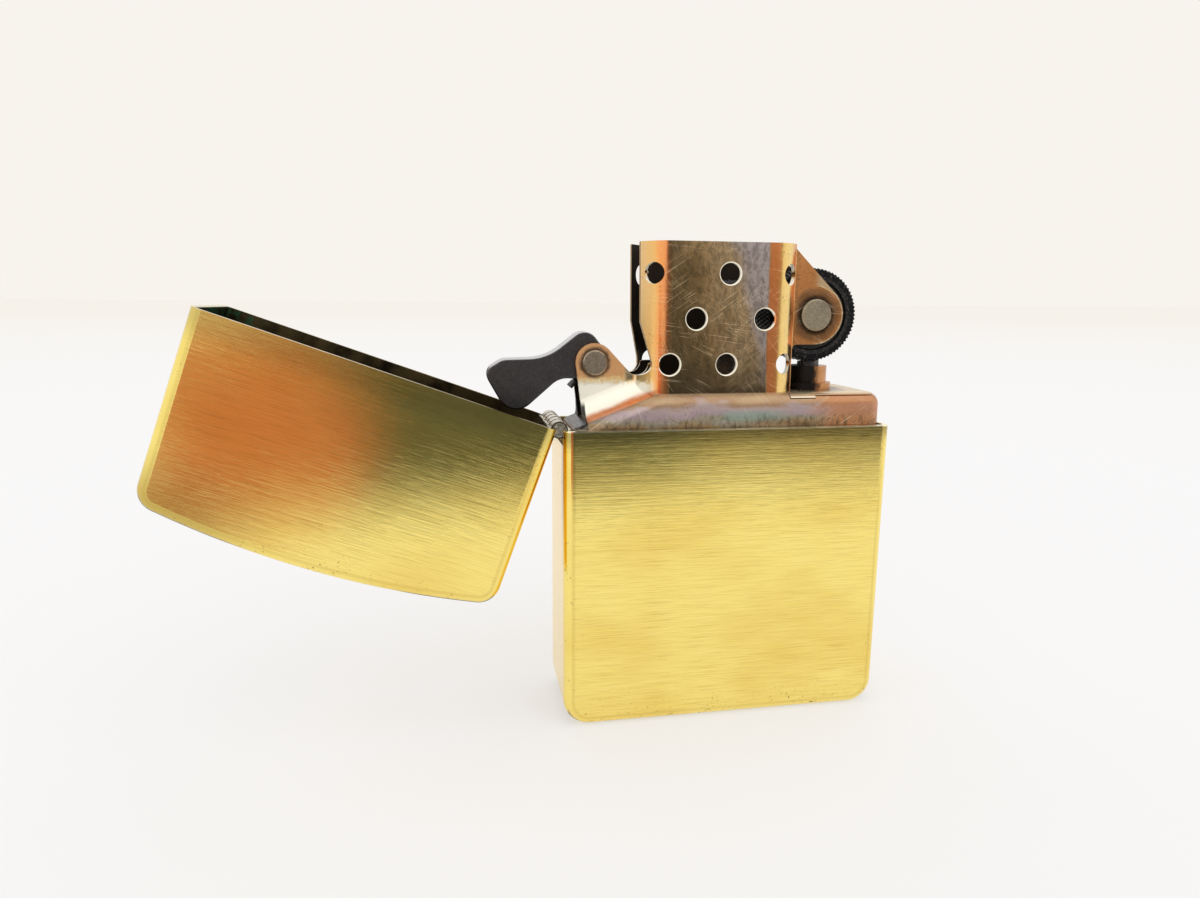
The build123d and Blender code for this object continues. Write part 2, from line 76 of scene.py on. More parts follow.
def add_camera():
    """A camera close to the front, a little above the lid and turned to the right."""
    yaw, pitch, roll = (math.radians(a) for a in (10.188, -10.458, 0.403))
    forward = Vector(
        (math.sin(yaw) * math.cos(pitch), math.cos(yaw) * math.cos(pitch), math.sin(pitch))
    )
    level = Vector((math.cos(yaw), -math.sin(yaw), 0))
    upright = level.cross(forward)
    right = level * math.cos(roll) + upright * math.sin(roll)
    up = upright * math.cos(roll) - level * math.sin(roll)
    data = bpy.data.cameras.new("camera")
    data.sensor_width = 36
    data.lens = 23.81
    data.clip_start = 0.005
    data.clip_end = 200
    camera = bpy.data.objects.new("camera", data)
    bpy.context.scene.collection.objects.link(camera)
    turn = Matrix((right, up, -forward)).transposed().to_4x4()
    camera.matrix_world = Matrix.Translation((-0.030128, -0.089591, 0.048196)) @ turn
    bpy.context.scene.camera = camera


# Materials


class Paint:
    """One material, with short calls that add its nodes. Patterns are measured in millimetres."""

    def __init__(self, name, metallic, roughness):
        self.material = bpy.data.materials.new(name)
        self.material.use_nodes = True
        self.nodes = self.material.node_tree.nodes
        self.links = self.material.node_tree.links
        self.shader = self.nodes["Principled BSDF"]
        self.set("Metallic", metallic)
        self.set("Roughness", roughness)
        coordinates = self.nodes.new("ShaderNodeTexCoord")
        self.place = self.vector("SCALE", coordinates.outputs["Object"], scale=1 / MM)
        self.normal = coordinates.outputs["Normal"]

    def put(self, socket, value):
        if isinstance(value, bpy.types.NodeSocket):
            self.links.new(value, socket)
        elif isinstance(value, tuple) and len(value) == 3 and len(socket.default_value) == 4:
            socket.default_value = (*value, 1)
        else:
            socket.default_value = value

    def set(self, name, value):
        self.put(self.shader.inputs[name], value)

    def vector(self, operation, a, b=None, scale=None):
        node = self.nodes.new("ShaderNodeVectorMath")
        node.operation = operation
        self.put(node.inputs[0], a)
        if b is not None:
            self.put(node.inputs[1], b)
        if scale is not None:
            node.inputs["Scale"].default_value = scale
        return node.outputs["Value"] if operation == "LENGTH" else node.outputs["Vector"]

    def math(self, operation, a, b=0.0, clamp=False):
        node = self.nodes.new("ShaderNodeMath")
        node.operation = operation
        node.use_clamp = clamp
        self.put(node.inputs[0], a)
        self.put(node.inputs[1], b)
        return node.outputs[0]

    def split(self, vector):
        node = self.nodes.new("ShaderNodeSeparateXYZ")
        self.put(node.inputs[0], vector)
        return node.outputs[0], node.outputs[1], node.outputs[2]

    def step(self, value, start, end, low=0.0, high=1.0):
        """Low before start, high past end, and a smooth change between them."""
        node = self.nodes.new("ShaderNodeMapRange")
        node.interpolation_type = "SMOOTHSTEP"
        for name, given in zip(
            ("Value", "From Min", "From Max", "To Min", "To Max"), (value, start, end, low, high)
        ):
            self.put(node.inputs[name], given)
        return node.outputs[0]

    def noise(self, size, detail=2.0, place=None, turn=0.0, offset=(0, 0, 0), rough=0.5):
        """Noise whose features are about size millimetres across, one size for each axis."""
        sizes = size if isinstance(size, tuple) else (size, size, size)
        node = self.nodes.new("ShaderNodeMapping")
        node.vector_type = "TEXTURE"
        self.put(node.inputs["Vector"], place or self.place)
        node.inputs["Location"].default_value = offset
        node.inputs["Rotation"].default_value = (0, math.radians(turn), 0)
        node.inputs["Scale"].default_value = sizes
        texture = self.nodes.new("ShaderNodeTexNoise")
        self.put(texture.inputs["Vector"], node.outputs[0])
        texture.inputs["Scale"].default_value = 1
        texture.inputs["Detail"].default_value = detail
        texture.inputs["Roughness"].default_value = rough
        return texture.outputs["Fac"]

    def mix(self, factor, a, b):
        node = self.nodes.new("ShaderNodeMix")
        node.data_type = "RGBA"
        self.put(node.inputs["Factor"], factor)
        self.put(node.inputs[6], a)
        self.put(node.inputs[7], b)
        return node.outputs[2]

    def ramp(self, value, stops):
        node = self.nodes.new("ShaderNodeValToRGB")
        self.put(node.inputs[0], value)
        elements = node.color_ramp.elements
        while len(elements) < len(stops):
            elements.new(0.5)
        for element, (position, colour) in zip(elements, stops):
            element.position = position
            element.color = (*colour, 1)
        return node.outputs[0]

    def ramp_over(self, value, stops):
        """A ramp whose stops are given in the value's own units."""
        first, last = stops[0][0], stops[-1][0]
        share = self.math("DIVIDE", self.math("SUBTRACT", value, first), last - first)
        return self.ramp(share, [((s - first) / (last - first), c) for s, c in stops])

    def around(self, x, z):
        """Distance from an axis that runs front to back."""
        flat = self.vector("MULTIPLY", self.place, (1, 0, 1))
        return self.vector("LENGTH", self.vector("SUBTRACT", flat, (x, 0, z)))

    def both(self, a, b):
        return self.math("MULTIPLY", a, b)

    def more(self, value, extra, amount):
        """The value plus an amount of something that runs from 0 to 1 about a half."""
        centred = self.math("SUBTRACT", extra, 0.5)
        return self.math("ADD", value, self.math("MULTIPLY", centred, amount))

    def bump(self, height, depth):
        """Relief of a depth in millimetres."""
        node = self.nodes.new("ShaderNodeBump")
        node.inputs["Strength"].default_value = 1
        node.inputs["Distance"].default_value = depth * MM
        self.put(node.inputs["Height"], height)
        self.set("Normal", node.outputs[0])

    def scratches(self, turn, seed, long=9.0, thin=0.035, cut=0.66):
        """Fine straight marks along one direction."""
        lines = self.noise((long, long, thin), 1, turn=turn, offset=(seed, seed, seed))
        patches = self.noise(3.5, 1, offset=(seed + 7, 0, 0))
        sparse = self.step(patches, 0.45, 0.62)
        return self.both(self.step(lines, cut, cut + 0.1), sparse)


def brass(name, lid):
    """Brushed brass with polished round edges, small pits and a dark inside; a dark rim band,
    partly tarnish and partly painted reflection; and painted shade, reflections and highlights.
    """
    paint = Paint(name, 1.0, 0.22)
    if lid:
        turn = paint.nodes.new("ShaderNodeVectorRotate")
        turn.rotation_type = "AXIS_ANGLE"
        turn.inputs["Axis"].default_value = (0, 1, 0)
        turn.inputs["Angle"].default_value = OPEN_ANGLE
        turn.inputs["Center"].default_value = HINGE
        paint.put(turn.inputs["Vector"], paint.place)
        paint.place = turn.outputs[0]
    x, y, z = paint.split(paint.place)
    facing = paint.math("ABSOLUTE", paint.split(paint.normal)[1])
    flat = paint.step(facing, 0.93, 0.998)
    grain = paint.noise((5.5, 5.5, 0.045), 3, rough=0.65)
    broad = paint.noise((16, 16, 0.22), 2, offset=(3, 0, 5))
    smudge = paint.noise((7, 7, 5), 3, offset=(11, 4, 2))
    haze = paint.noise((15, 15, 10), 2, offset=(1, 9, 3))

    gold = (1.0, 0.805, 0.235)
    deep = (0.88, 0.62, 0.13)
    colour = paint.mix(paint.both(paint.step(haze, 0.38, 0.72), 0.6), gold, deep)
    streak = paint.both(paint.step(grain, 0.50, 0.68), flat)
    colour = paint.mix(paint.both(streak, 0.60), colour, (0.60, 0.39, 0.08))
    glint = paint.both(paint.step(grain, 0.46, 0.30), flat)
    colour = paint.mix(paint.both(glint, 0.40), colour, (1.0, 0.90, 0.44))
    # Painted shade: a thin darker line where each flat face turns into its round edge.
    crease_shade = paint.both(paint.step(facing, 0.90, 0.965), paint.step(facing, 0.9995, 0.99))
    colour = paint.mix(paint.both(crease_shade, 0.22), colour, (0.52, 0.34, 0.07))
    # Painted shade: the narrow side faces are coloured a deeper, more orange gold.
    side = paint.step(paint.math("ABSOLUTE", paint.split(paint.normal)[0]), 0.90, 0.99)
    colour = paint.mix(paint.both(side, 0.6), colour, (0.93, 0.62, 0.18))
    if not lid:
        high = paint.step(paint.more(z, smudge, 6), 18, 30)
        near = paint.step(y, -3.0, -4.6)
        hinge_side = paint.both(side, paint.step(x, 0, -1))
        shade = paint.both(paint.both(high, near), hinge_side)
        colour = paint.mix(paint.both(shade, 0.75), colour, (0.30, 0.13, 0.035))

    # A ragged dark band below each rim: partly tarnish, partly a painted reflection of the dark
    # room.
    rim_start, rim_end = (38.5, 35.2) if lid else (32.0, 34.3)
    raggedness, rim_tarnish_and_reflection = (-2.2, 0.42) if lid else (2.2, 0.74)
    height = paint.more(paint.more(z, smudge, 1.2), grain, raggedness)
    rim = paint.step(height, rim_start, rim_end)
    colour = paint.mix(paint.both(rim, rim_tarnish_and_reflection), colour, (0.34, 0.27, 0.10))
    # Painted reflection on the lid: a brown patch towards its right.
    if lid:
        brown = paint.both(paint.step(paint.more(x, smudge, 6), 4, 15), paint.step(z, 47, 56))
        colour = paint.mix(paint.both(brown, 0.70), colour, (0.46, 0.32, 0.08))

    bottom = paint.step(z, 53.5, 57) if lid else paint.step(z, 5, 0)
    wall_end = paint.step(paint.math("ABSOLUTE", x), 15.5, 19)
    worn = paint.math("MAXIMUM", bottom, paint.math("MULTIPLY", wall_end, 0.55))
    specks = paint.step(paint.noise(0.30, 2, offset=(2, 2, 8)), 0.63, 0.70)
    few = paint.step(paint.noise(2.6, 2, offset=(5, 1, 1)), 0.47, 0.60)
    pits = paint.both(paint.both(specks, few), paint.math("ADD", paint.both(worn, 0.9), 0.06))
    colour = paint.mix(pits, colour, (0.16, 0.10, 0.03))
    bruise = paint.both(paint.step(paint.noise(0.55, 3, offset=(8, 3, 0)), 0.60, 0.72), bottom)
    colour = paint.mix(paint.both(bruise, 0.45), colour, (0.40, 0.26, 0.07))

    inside_y = paint.step(paint.math("ABSOLUTE", y), INNER_Y + 0.1, INNER_Y - 0.1)
    inside_x = paint.step(paint.math("ABSOLUTE", x), INNER_X + 0.1, INNER_X - 0.1)
    if lid:
        inside_z = paint.step(z, INNER_ROOF + 0.1, INNER_ROOF - 0.1)
    else:
        inside_z = paint.step(z, 0.45, 0.6)
    inside = paint.both(paint.both(inside_y, inside_x), inside_z)
    if lid:
        soot = paint.step(paint.noise(2.4, 3, offset=(4, 4, 4)), 0.35, 0.68)
        lining = paint.mix(soot, (0.16, 0.115, 0.05), (0.035, 0.026, 0.016))
        verdigris = paint.both(
            paint.step(z, 37.5, 35.2), paint.step(paint.noise(1.1, 2), 0.45, 0.62)
        )
        far = paint.step(x, 13.5, 17.5)
        lining = paint.mix(paint.both(verdigris, far), lining, (0.05, 0.20, 0.10))
    else:
        lining = (0.42, 0.31, 0.12)
    colour = paint.mix(inside, colour, lining)
    # Painted highlight: a pale cream band along the top of the case's rim.
    if not lid:
        rim_highlight = paint.step(z, RIM_Z - 0.18, RIM_Z - 0.10)
        colour = paint.mix(rim_highlight, colour, (1.0, 0.90, 0.60))
    paint.set("Base Color", colour)

    rough = paint.step(flat, 0, 1, 0.12, 0.13)
    rough = paint.more(rough, grain, 0.10)
    rough = paint.more(rough, smudge, 0.08)
    rough = paint.math("ADD", rough, paint.both(inside, 0.22))
    rough = paint.math("ADD", rough, paint.both(pits, 0.3))
    paint.set("Roughness", rough)

    relief = paint.both(paint.math("ADD", grain, paint.both(broad, 0.8)), flat)
    relief = paint.math("SUBTRACT", relief, paint.both(pits, 1.2))
    relief = paint.math("ADD", relief, paint.both(paint.noise((4, 4, 4), 2), 0.9))
    paint.bump(relief, 0.0052)
    return paint.material


def outward(paint):
    """1 on faces that look away from the centre plane, 0 on those that look towards it."""
    y = paint.split(paint.place)[1]
    facing = paint.split(paint.normal)[1]
    side = paint.math("SIGN", y)
    return paint.step(paint.both(side, facing), -0.35, -0.05)


def temper_bands(paint, x, z):
    """Heat colours of the shoulder: brown, purple and straw, with teal midway and copper right."""
    swirl = paint.noise((4.5, 3, 1.6), 3, offset=(6, 2, 9))
    height = paint.more(z, swirl, 3.4)
    bands = paint.ramp_over(
        height,
        [
            (34.0, (0.16, 0.10, 0.05)),
            (34.7, (0.36, 0.23, 0.11)),
            (35.3, (0.33, 0.29, 0.21)),
            (36.0, (0.42, 0.31, 0.33)),
            (36.7, (0.47, 0.36, 0.34)),
            (37.3, (0.40, 0.24, 0.13)),
            (38.4, (0.52, 0.36, 0.20)),
        ],
    )
    teal = paint.both(paint.step(paint.more(x, swirl, 7), -3, 0), paint.step(x, 8, 4))
    teal = paint.both(teal, paint.both(paint.step(z, 35.0, 35.5), paint.step(z, 36.6, 36.0)))
    bands = paint.mix(paint.both(teal, 0.65), bands, (0.24, 0.37, 0.29))
    warm = paint.both(paint.step(paint.more(x, swirl, 9), 8.5, 12.5), 0.85)
    bands = paint.mix(warm, bands, (0.52, 0.22, 0.09))
    dirt = paint.step(paint.noise((0.5, 0.5, 1.1), 4, offset=(1, 8, 3), rough=0.7), 0.40, 0.75)
    low = paint.step(paint.more(z, swirl, 2.4), 36.4, 34.9)
    return paint.mix(paint.both(dirt, low), bands, (0.09, 0.06, 0.03))


def rings(paint, colour, axis, head, width):
    """Dark grime round a rivet head."""
    far = paint.more(paint.around(*axis), paint.noise(0.7, 2), 0.5)
    grime = paint.step(far, head + width, head + 0.1)
    return paint.mix(paint.both(grime, 0.85), colour, (0.035, 0.025, 0.018))


def insert_metal():
    """Steel in straw, copper and lilac, partly heat colour and partly painted reflection, with
    painted highlights at cut edges and soot inside.
    """
    paint = Paint("insert_metal_look", 1.0, 0.25)
    x, _, z = paint.split(paint.place)
    wander = paint.noise((2.2, 2.2, 6), 3, offset=(3, 3, 3))
    across = paint.more(x, wander, 0.9)
    # Colours across the front: partly heat colour, partly painted reflection; the orange bands at
    # the two bends and the gold and pale zones beside them are painted reflections.
    sheet = paint.ramp_over(
        across,
        [
            (-10.6, (0.78, 0.60, 0.36)),
            (-9.8, (0.80, 0.52, 0.23)),
            (-8.9, (0.90, 0.52, 0.17)),
            (-8.5, (0.96, 0.42, 0.13)),
            (-7.5, (0.94, 0.34, 0.12)),
            (-7.1, (0.55, 0.34, 0.15)),
            (3.8, (0.52, 0.37, 0.19)),
            (4.3, (0.96, 0.34, 0.12)),
            (5.1, (0.95, 0.38, 0.13)),
            (5.5, (0.90, 0.60, 0.20)),
            (6.6, (0.92, 0.68, 0.27)),
            (7.3, (0.70, 0.34, 0.13)),
        ],
    )
    middle = paint.both(paint.step(across, -7.15, -6.95), paint.step(across, 4.10, 3.90))
    blotch = paint.noise((3.0, 3, 5.0), 4, offset=(9, 1, 4))
    mottle = paint.noise((0.5, 0.5, 0.9), 4, offset=(1, 6, 2), rough=0.7)
    slope = paint.math("ADD", paint.math("MULTIPLY", z, 0.28), x)
    light = paint.both(paint.step(paint.more(slope, blotch, 5), 8.5, 14.5), middle)
    sheet = paint.mix(paint.both(light, 0.60), sheet, (0.74, 0.55, 0.33))
    lilac = paint.step(paint.more(slope, blotch, 3), 14.0, 16.2)
    sheet = paint.mix(paint.both(paint.both(lilac, 0.85), middle), sheet, (0.62, 0.57, 0.60))
    umber = paint.both(paint.step(paint.more(slope, blotch, 6), 11.5, 6.5), middle)
    sheet = paint.mix(paint.both(umber, 0.60), sheet, (0.20, 0.155, 0.075))
    low = paint.both(paint.step(paint.more(z, blotch, 4), 43.0, 40.0), middle)
    sheet = paint.mix(paint.both(low, 0.60), sheet, (0.15, 0.115, 0.065))
    grain = paint.both(paint.step(mottle, 0.42, 0.62), middle)
    sheet = paint.mix(paint.both(grain, 0.45), sheet, (0.10, 0.075, 0.04))

    # Painted reflection: the cam ear is coloured copper-gold.
    ear = paint.step(x, -11.2, -11.9)
    sheet = paint.mix(ear, sheet, (0.80, 0.42, 0.18))
    past_bend = paint.math("SUBTRACT", x, DECK_SLOPE_START)
    deck_line = paint.math("ADD", paint.math("MULTIPLY", past_bend, DECK_SLOPE), DECK_Z)
    over_slope = paint.math("SUBTRACT", z, deck_line)
    foot = paint.both(paint.step(x, -8.4, -9.6), paint.step(over_slope, 0.2, 0.5))
    fade = paint.more(z, paint.noise(0.35, 4, rough=0.7), 1.6)
    # Painted highlight: a cream patch with a yellow fringe on the cam ear's foot.
    foot_highlight_fringe = paint.both(paint.step(fade, 40.3, 39.6), foot)
    sheet = paint.mix(foot_highlight_fringe, sheet, (1.0, 0.72, 0.34))
    foot_highlight = paint.both(paint.step(fade, 39.8, 39.0), foot)
    sheet = paint.mix(foot_highlight, sheet, (1.0, 0.97, 0.82))
    hem = paint.step(paint.more(over_slope, wander, 0.5), 0.85, 0.30)
    hem = paint.both(hem, paint.step(x, -7.6, -8.8))
    sheet = paint.mix(hem, sheet, (0.66, 0.24, 0.10))
    wheel_ear = paint.step(x, 7.7, 8.4)
    reach = paint.more(paint.around(*WHEEL_AXIS), blotch, 1.6)
    glow = paint.ramp_over(
        reach,
        [
            (1.9, (0.26, 0.15, 0.08)),
            (2.8, (0.50, 0.26, 0.12)),
            (3.3, (0.90, 0.42, 0.16)),
        ],
    )
    sheet = paint.mix(wheel_ear, sheet, glow)
    # Painted highlight: a pale line along the wheel ear's edge on its right.
    from_axis = paint.around(*WHEEL_AXIS)
    ear_edge_highlight = paint.both(
        paint.step(from_axis, WHEEL_EAR_RADIUS - 0.06, WHEEL_EAR_RADIUS), wheel_ear
    )
    sheet = paint.mix(paint.both(ear_edge_highlight, paint.step(x, 10, 11)), sheet, (1.0, 0.80, 0.52))
    sheet = rings(paint, sheet, CAM_AXIS, CAM_HEAD_RADIUS, 0.55)
    sheet = rings(paint, sheet, WHEEL_AXIS, WHEEL_HEAD_RADIUS, 0.65)

    low_grime = paint.noise((1.6, 1.6, 0.9), 3, offset=(0, 5, 5))
    grime = paint.step(paint.more(z, low_grime, 1.6), DECK_Z + 1.1, DECK_Z + 0.1)
    sheet = paint.mix(paint.both(grime, paint.both(middle, 0.8)), sheet, (0.12, 0.08, 0.045))

    outer = outward(paint)
    soot = paint.noise(1.8, 3, offset=(2, 7, 7))
    lining = paint.mix(soot, (0.020, 0.017, 0.015), (0.060, 0.042, 0.030))
    sheet = paint.mix(outer, lining, sheet)

    body = temper_bands(paint, x, z)
    hidden = paint.step(z, RIM_Z - 0.3, RIM_Z - 0.9)
    slid = paint.noise((0.06, 0.06, 8), 2)
    clean = paint.mix(slid, (0.72, 0.69, 0.63), (0.60, 0.56, 0.50))
    body = paint.mix(hidden, body, clean)
    above_deck = paint.step(z, DECK_Z - 0.12, DECK_Z + 0.12)
    above_slope = paint.both(paint.step(over_slope, -0.1, 0.15), paint.step(x, -8.6, -9.0))
    above = paint.math("MAXIMUM", above_deck, above_slope)
    colour = paint.mix(above, body, sheet)
    # Painted shade: the shell's corner left of the cam ear, between the rim and the shoulder top,
    # is painted near-black.
    corner_shade = paint.step(x, EAR_FOOT_LEFT, EAR_FOOT_LEFT - 0.15)
    corner_shade = paint.both(corner_shade, paint.step(z, RIM_Z - 0.1, RIM_Z + 0.1))
    corner_shade = paint.both(corner_shade, paint.step(z, 37.4, 36.6))
    colour = paint.mix(corner_shade, colour, (0.025, 0.021, 0.018))

    marks = paint.scratches(28, 3)
    for turn, seed in ((-34, 8), (71, 15), (8, 21), (52, 30)):
        marks = paint.math("MAXIMUM", marks, paint.scratches(turn, seed))
    marks = paint.both(marks, outer)
    colour = paint.mix(paint.both(marks, 0.65), colour, (1.0, 0.86, 0.62))
    specks = paint.step(paint.noise(0.22, 2, offset=(3, 3, 9)), 0.61, 0.68)
    specks = paint.both(specks, paint.both(outer, paint.step(blotch, 0.42, 0.62)))
    specks = paint.both(specks, paint.math("SUBTRACT", 1, foot_highlight))
    colour = paint.mix(paint.both(specks, 0.45), colour, (0.10, 0.06, 0.035))
    facing = paint.math("ABSOLUTE", paint.split(paint.normal)[1])
    tilt = paint.math("ABSOLUTE", paint.split(paint.normal)[2])
    above_foot = paint.step(z, DECK_Z + 0.9, DECK_Z + 1.2)
    below_top = paint.step(z, CHIMNEY_TOP, CHIMNEY_TOP - 0.3)
    past_left = paint.step(x, CHIMNEY_LEFT - 0.1, CHIMNEY_LEFT + 0.1)
    short_of_right = paint.step(x, CHIMNEY_RIGHT + 0.1, CHIMNEY_RIGHT - 0.1)
    chimney = paint.both(
        paint.both(above_foot, below_top), paint.both(past_left, short_of_right)
    )
    # Painted highlight: the cut edges of the chimney's holes and rims are painted pale cream.
    sloping = paint.step(tilt, 0.15, 0.4)
    turned = paint.both(paint.step(facing, 0.9, 0.7), middle)
    cut_edge_highlight = paint.both(paint.math("MAXIMUM", sloping, turned), chimney)
    colour = paint.mix(cut_edge_highlight, colour, (1.0, 0.93, 0.76))
    paint.set("Base Color", colour)

    # Metalness is lowered on the painted highlights, the cam ear and the shoulder, so they read
    # brighter.
    matt = paint.math("MAXIMUM", paint.both(foot_highlight, 0.70), paint.both(cut_edge_highlight, 0.75))
    matt = paint.math("MAXIMUM", matt, paint.both(paint.both(ear, above), 0.5))
    shoulder = paint.math("SUBTRACT", 1, paint.math("MAXIMUM", above, hidden))
    matt = paint.math("MAXIMUM", matt, paint.both(shoulder, 0.55))
    paint.set("Metallic", paint.math("SUBTRACT", 1, paint.both(matt, outer)))

    rough = paint.more(0.20, blotch, 0.16)
    rough = paint.math("ADD", rough, paint.both(middle, 0.06))
    rough = paint.math("ADD", rough, paint.both(matt, 0.25))
    rough = paint.math("SUBTRACT", rough, paint.both(marks, 0.06))
    rough = paint.math("ADD", rough, paint.math("SUBTRACT", 0.4, paint.both(outer, 0.4)))
    paint.set("Roughness", rough)
    relief = paint.math("ADD", paint.noise(0.12, 3), paint.both(marks, -0.9))
    relief = paint.math("ADD", relief, paint.both(paint.noise(2.5, 2), 1.6))
    paint.bump(relief, 0.004)
    return paint.material


def plate_metal():
    """The top plate: temper colours, soot round the tube, and painted highlights on its top and
    edges.
    """
    paint = Paint("plate_metal_look", 1.0, 0.26)
    x, y, z = paint.split(paint.place)
    colour = temper_bands(paint, x, z)
    top = paint.step(z, DECK_Z - 0.35, DECK_Z - 0.05)
    # Painted highlight: the plate's top face is painted pale gold.
    colour = paint.mix(paint.both(top, 0.80), colour, (0.92, 0.78, 0.54))
    from_tube = paint.vector(
        "LENGTH",
        paint.vector(
            "SUBTRACT", paint.vector("MULTIPLY", paint.place, (1, 1, 0)), (FLINT_X, 0, 0)
        ),
    )
    soot = paint.step(paint.more(from_tube, paint.noise(1.4, 3), 3), 5.2, 2.8)
    colour = paint.mix(paint.both(soot, 0.75), colour, (0.10, 0.07, 0.045))
    # Painted highlight: a pale band along the plate's front and back edges.
    edge = paint.both(paint.step(z, 37.55, 37.7), paint.step(z, DECK_Z + 0.05, DECK_Z - 0.05))
    edge = paint.both(edge, paint.step(paint.math("ABSOLUTE", y), 5.0, 5.2))
    colour = paint.mix(paint.both(edge, 0.8), colour, (1.0, 0.90, 0.68))
    marks = paint.math("MAXIMUM", paint.scratches(15, 4), paint.scratches(-50, 9))
    colour = paint.mix(paint.both(marks, 0.5), colour, (0.82, 0.74, 0.62))
    paint.set("Base Color", colour)
    paint.set("Metallic", paint.step(top, 0, 1, 0.45, 0.8))
    paint.set("Roughness", paint.more(0.28, paint.noise(1.6, 3), 0.2))
    paint.bump(paint.noise(0.14, 3), 0.004)
    return paint.material


def tube_metal():
    """Copper-coloured tube, darker on the side towards the flame."""
    paint = Paint("tube_metal_look", 1.0, 0.28)
    x, _, z = paint.split(paint.place)
    stain = paint.noise((0.7, 0.7, 1.1), 3)
    colour = paint.mix(stain, (0.66, 0.33, 0.15), (0.44, 0.21, 0.09))
    # Darker on the left side, towards the wick, from just below the deck up.
    soot = paint.both(
        paint.step(paint.more(x, stain, 2.0), FLINT_X + 0.5, FLINT_X - 0.4),
        paint.step(z, DECK_Z - 1, DECK_Z),
    )
    colour = paint.mix(soot, colour, (0.03, 0.025, 0.022))
    paint.set("Base Color", colour)
    paint.set("Roughness", paint.math("ADD", paint.more(0.24, stain, 0.2), paint.both(soot, 0.3)))
    paint.bump(paint.noise((0.3, 0.3, 0.05), 2), 0.004)
    return paint.material


def steel(name, colour, worn, roughness, speckle, top=None, groove_shade=None):
    """Dull steel with speckle and light wear; an optional top colour paints a highlight on upward
    faces, and an optional colour paints shade in slanted grooves.
    """
    paint = Paint(name, 1.0, roughness)
    fine = paint.noise(speckle, 3)
    cloud = paint.noise(speckle * 9, 3, offset=(4, 1, 6))
    mixed = paint.mix(paint.step(fine, 0.40, 0.68), colour, worn)
    dull = paint.both(paint.step(cloud, 0.5, 0.75), 0.5)
    mixed = paint.mix(dull, mixed, tuple(c * 0.6 for c in colour))
    marks = paint.scratches(32, 5, 3.0, 0.03, 0.68)
    bare = tuple(min(1, c * 1.9 + 0.1) for c in worn)
    mixed = paint.mix(paint.both(marks, 0.55), mixed, bare)
    _, ny, nz = paint.split(paint.normal)
    # Painted highlight: upward faces take the top colour.
    if top:
        mixed = paint.mix(paint.step(nz, 0.45, 0.75), mixed, top)
    # Painted shade in the slanted grooves.
    if groove_shade:
        slant = paint.math("ABSOLUTE", ny)
        cut = paint.both(paint.step(slant, 0.12, 0.4), paint.step(slant, 0.98, 0.9))
        mixed = paint.mix(cut, mixed, groove_shade)
    paint.set("Base Color", mixed)
    paint.set("Roughness", paint.more(roughness, cloud, 0.18))
    paint.bump(paint.math("ADD", fine, paint.both(cloud, 0.8)), speckle * 0.03)
    return paint.material


def wheel_metal():
    """Black knurled steel, rubbed bright at the tips of its teeth."""
    paint = Paint("wheel_steel_look", 1.0, 0.42)
    radius = paint.around(*WHEEL_AXIS)
    grit = paint.noise(0.16, 3)
    tip = paint.step(paint.more(radius, grit, 0.12), WHEEL_RADIUS - 0.2, WHEEL_RADIUS - 0.02)
    colour = paint.mix(tip, (0.016, 0.016, 0.017), (0.26, 0.25, 0.23))
    face = paint.step(radius, 4.55, 4.4)
    plain = paint.mix(paint.step(grit, 0.45, 0.7), (0.030, 0.030, 0.030), (0.075, 0.072, 0.068))
    colour = paint.mix(face, colour, plain)
    dust = paint.both(paint.step(paint.noise(0.3, 3, offset=(6, 6, 1)), 0.55, 0.72), 0.30)
    colour = paint.mix(dust, colour, (0.26, 0.22, 0.16))
    paint.set("Base Color", colour)
    paint.set("Roughness", paint.more(0.46, grit, 0.25))
    paint.bump(grit, 0.03)
    return paint.material


def wick_cotton():
    """Cream cotton, darkening going up: brown by the deck and black towards the flame."""
    paint = Paint("wick_cotton_look", 0.0, 0.9)
    z = paint.split(paint.place)[2]
    lint = paint.noise(0.35, 4)
    height = paint.more(z, paint.noise(1.0, 3), 3)
    colour = paint.ramp_over(
        height,
        [
            (34.0, (0.66, 0.57, 0.42)),
            (38.0, (0.26, 0.17, 0.09)),
            (42.0, (0.060, 0.042, 0.030)),
            (46.0, (0.022, 0.020, 0.019)),
            (51.0, (0.016, 0.015, 0.015)),
        ],
    )
    colour = paint.mix(paint.both(paint.step(lint, 0.5, 0.8), 0.12), colour, (0.40, 0.35, 0.28))
    paint.set("Base Color", colour)
    paint.set("Sheen Weight", 0.25)
    paint.bump(lint, 0.05)
    return paint.material


def fibres(name, light, dark, grain):
    """Matted fibres: cotton or felt."""
    paint = Paint(name, 0.0, 0.95)
    tangle = paint.noise((grain, grain * 4, grain), 4)
    second = paint.noise((grain * 4, grain, grain), 4, turn=35, offset=(3, 8, 2))
    both = paint.math("MAXIMUM", tangle, second)
    stain = paint.noise(4, 2, offset=(5, 5, 0))
    colour = paint.mix(paint.step(both, 0.45, 0.75), dark, light)
    colour = paint.mix(paint.both(paint.step(stain, 0.5, 0.8), 0.25), colour, (0.62, 0.52, 0.34))
    paint.set("Base Color", colour)
    paint.set("Sheen Weight", 0.4)
    paint.bump(both, 0.12)
    return paint.material


def turned_brass(name):
    """Clean brass with fine turning marks."""
    paint = Paint(name, 1.0, 0.26)
    turning = paint.noise((6, 6, 0.05), 2)
    colour = paint.mix(turning, (0.86, 0.64, 0.26), (0.66, 0.44, 0.14))
    stain = paint.step(paint.noise(1.1, 3), 0.5, 0.75)
    paint.set("Base Color", paint.mix(paint.both(stain, 0.5), colour, (0.30, 0.19, 0.07)))
    paint.set("Roughness", paint.more(0.27, stain, 0.14))
    paint.bump(turning, 0.006)
    return paint.material


